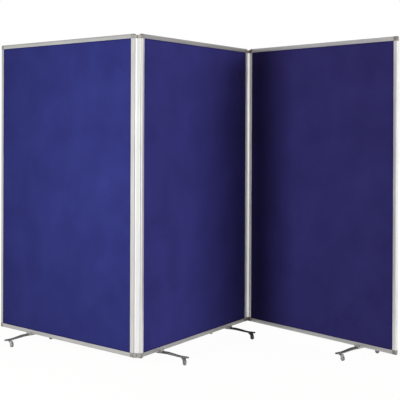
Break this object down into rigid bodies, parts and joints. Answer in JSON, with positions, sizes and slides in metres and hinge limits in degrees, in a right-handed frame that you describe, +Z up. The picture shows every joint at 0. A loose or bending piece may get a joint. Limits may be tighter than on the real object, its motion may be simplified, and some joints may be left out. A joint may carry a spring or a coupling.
{
  "type": "folding privacy screen",
  "caption": "Folding privacy screen with felt-faced leaves in aluminium frames, joined by double-pivot hinge strips, on double-ended feet with swivel castors.",
  "frame": {"origin": "centre of the footprint box, on the floor", "axes": "+X along the open zigzag, from the left leaf to the right leaf; +Y towards the back, away from the felt fronts that face the viewer; +Z up"},
  "size_m": [2.3302, 1.0502, 1.82],
  "materials": {
    "felt": "needled felt, matt",
    "core": "raw fibreboard",
    "frame": "satin anodised",
    "cap": "fine grained moulding",
    "strip": "satin anodised",
    "arm": "textured powder coat",
    "saddle": "satin grey paint",
    "bolt": "zinc plated",
    "fork": "moulded grey hood",
    "wheel": "moulded tread"
  },
  "bodies": {
    "leaf_2": {"leaf_2_core": "core", "leaf_2_felt": "felt", "leaf_2_top_rail": "frame", "leaf_2_bottom_rail": "frame", "leaf_2_left_stile": "frame", "leaf_2_right_stile": "frame", "leaf_2_top_left_cap": "cap", "leaf_2_bottom_left_cap": "cap", "leaf_2_top_right_cap": "cap", "leaf_2_bottom_right_cap": "cap", "foot_2_arm": "arm", "foot_2_saddle": "saddle", "foot_2_bolt": "bolt", "foot_3_arm": "arm", "foot_3_saddle": "saddle", "foot_3_bolt": "bolt"},
    "leaf_1": {"leaf_1_core": "core", "leaf_1_felt": "felt", "leaf_1_top_rail": "frame", "leaf_1_bottom_rail": "frame", "leaf_1_left_stile": "frame", "leaf_1_right_stile": "frame", "leaf_1_top_left_cap": "cap", "leaf_1_bottom_left_cap": "cap", "leaf_1_top_right_cap": "cap", "leaf_1_bottom_right_cap": "cap", "foot_1_arm": "arm", "foot_1_saddle": "saddle", "foot_1_bolt": "bolt"},
    "leaf_3": {"leaf_3_core": "core", "leaf_3_felt": "felt", "leaf_3_top_rail": "frame", "leaf_3_bottom_rail": "frame", "leaf_3_left_stile": "frame", "leaf_3_right_stile": "frame", "leaf_3_top_left_cap": "cap", "leaf_3_bottom_left_cap": "cap", "leaf_3_top_right_cap": "cap", "leaf_3_bottom_right_cap": "cap", "foot_4_arm": "arm", "foot_4_saddle": "saddle", "foot_4_bolt": "bolt"},
    "strip_1": {"hinge_strip_1": "strip"},
    "strip_2": {"hinge_strip_2": "strip"},
    "castor_1_front": {"foot_1_front_fork": "fork"},
    "wheel_1_front": {"foot_1_front_wheel": "wheel"},
    "castor_1_rear": {"foot_1_rear_fork": "fork"},
    "wheel_1_rear": {"foot_1_rear_wheel": "wheel"},
    "castor_2_front": {"foot_2_front_fork": "fork"},
    "wheel_2_front": {"foot_2_front_wheel": "wheel"},
    "castor_2_rear": {"foot_2_rear_fork": "fork"},
    "wheel_2_rear": {"foot_2_rear_wheel": "wheel"},
    "castor_3_front": {"foot_3_front_fork": "fork"},
    "wheel_3_front": {"foot_3_front_wheel": "wheel"},
    "castor_3_rear": {"foot_3_rear_fork": "fork"},
    "wheel_3_rear": {"foot_3_rear_wheel": "wheel"},
    "castor_4_front": {"foot_4_front_fork": "fork"},
    "wheel_4_front": {"foot_4_front_wheel": "wheel"},
    "castor_4_rear": {"foot_4_rear_fork": "fork"},
    "wheel_4_rear": {"foot_4_rear_wheel": "wheel"}
  },
  "joints": [
    {"name": "hinge_1_middle_pivot", "type": "hinge", "parent": "leaf_2", "child": "strip_1", "pos_m": [-0.25856, -0.51429, 0.94], "axis": [0, 0, 1], "range_deg": [-22, 113]},
    {"name": "hinge_1_left_pivot", "type": "hinge", "parent": "strip_1", "child": "leaf_1", "pos_m": [-0.28121, -0.51029, 0.94], "axis": [0, 0, 1], "range_deg": [-57, 78]},
    {"name": "hinge_2_middle_pivot", "type": "hinge", "parent": "leaf_2", "child": "strip_2", "pos_m": [0.38052, 0.50846, 0.94], "axis": [0, 0, 1], "range_deg": [-47, 88]},
    {"name": "hinge_2_right_pivot", "type": "hinge", "parent": "strip_2", "child": "leaf_3", "pos_m": [0.40274, 0.51441, 0.94], "axis": [0, 0, 1], "range_deg": [-24, 111]},
    {"name": "castor_1_front_swivel", "type": "hinge", "parent": "leaf_1", "child": "castor_1_front", "pos_m": [-1.05499, 0.00891, 0.04], "axis": [0, 0, 1], "continuous": true},
    {"name": "wheel_1_front_roll", "type": "hinge", "parent": "castor_1_front", "child": "wheel_1_front", "pos_m": [-1.0412, -0.00187, 0.0125], "axis": [0.6157, 0.788, 0], "continuous": true},
    {"name": "castor_1_rear_swivel", "type": "hinge", "parent": "leaf_1", "child": "castor_1_rear", "pos_m": [-0.85312, 0.22539, 0.04], "axis": [0, 0, 1], "continuous": true},
    {"name": "wheel_1_rear_roll", "type": "hinge", "parent": "castor_1_rear", "child": "wheel_1_rear", "pos_m": [-0.83797, 0.21664, 0.0125], "axis": [0.5, 0.866, 0], "continuous": true},
    {"name": "castor_2_front_swivel", "type": "hinge", "parent": "leaf_2", "child": "castor_2_front", "pos_m": [-0.01912, -0.41038, 0.04], "axis": [0, 0, 1], "continuous": true},
    {"name": "wheel_2_front_roll", "type": "hinge", "parent": "castor_2_front", "child": "wheel_2_front", "pos_m": [-0.0109, -0.42584, 0.0125], "axis": [0.8829, 0.4695, 0], "continuous": true},
    {"name": "castor_2_rear_swivel", "type": "hinge", "parent": "leaf_2", "child": "castor_2_rear", "pos_m": [-0.27014, -0.25353, 0.04], "axis": [0, 0, 1], "continuous": true},
    {"name": "wheel_2_rear_roll", "type": "hinge", "parent": "castor_2_rear", "child": "wheel_2_rear", "pos_m": [-0.25937, -0.26732, 0.0125], "axis": [0.788, 0.6157, 0], "continuous": true},
    {"name": "castor_3_front_swivel", "type": "hinge", "parent": "leaf_2", "child": "castor_3_front", "pos_m": [0.3921, 0.2477, 0.04], "axis": [0, 0, 1], "continuous": true},
    {"name": "wheel_3_front_roll", "type": "hinge", "parent": "castor_3_front", "child": "wheel_3_front", "pos_m": [0.40551, 0.23645, 0.0125], "axis": [0.6428, 0.766, 0], "continuous": true},
    {"name": "castor_3_rear_swivel", "type": "hinge", "parent": "leaf_2", "child": "castor_3_rear", "pos_m": [0.14108, 0.40456, 0.04], "axis": [0, 0, 1], "continuous": true},
    {"name": "wheel_3_rear_roll", "type": "hinge", "parent": "castor_3_rear", "child": "wheel_3_rear", "pos_m": [0.15323, 0.39197, 0.0125], "axis": [0.7193, 0.6947, 0], "continuous": true},
    {"name": "castor_4_front_swivel", "type": "hinge", "parent": "leaf_3", "child": "castor_4_front", "pos_m": [0.8667, -0.2937, 0.04], "axis": [0, 0, 1], "continuous": true},
    {"name": "wheel_4_front_roll", "type": "hinge", "parent": "castor_4_front", "child": "wheel_4_front", "pos_m": [0.87928, -0.30586, 0.0125], "axis": [0.6947, 0.7193, 0], "continuous": true},
    {"name": "castor_4_rear_swivel", "type": "hinge", "parent": "leaf_3", "child": "castor_4_rear", "pos_m": [1.09673, -0.10742, 0.04], "axis": [0, 0, 1], "continuous": true},
    {"name": "wheel_4_rear_roll", "type": "hinge", "parent": "castor_4_rear", "child": "wheel_4_rear", "pos_m": [1.11107, -0.11746, 0.0125], "axis": [0.5736, 0.8192, 0], "continuous": true}
  ]
}
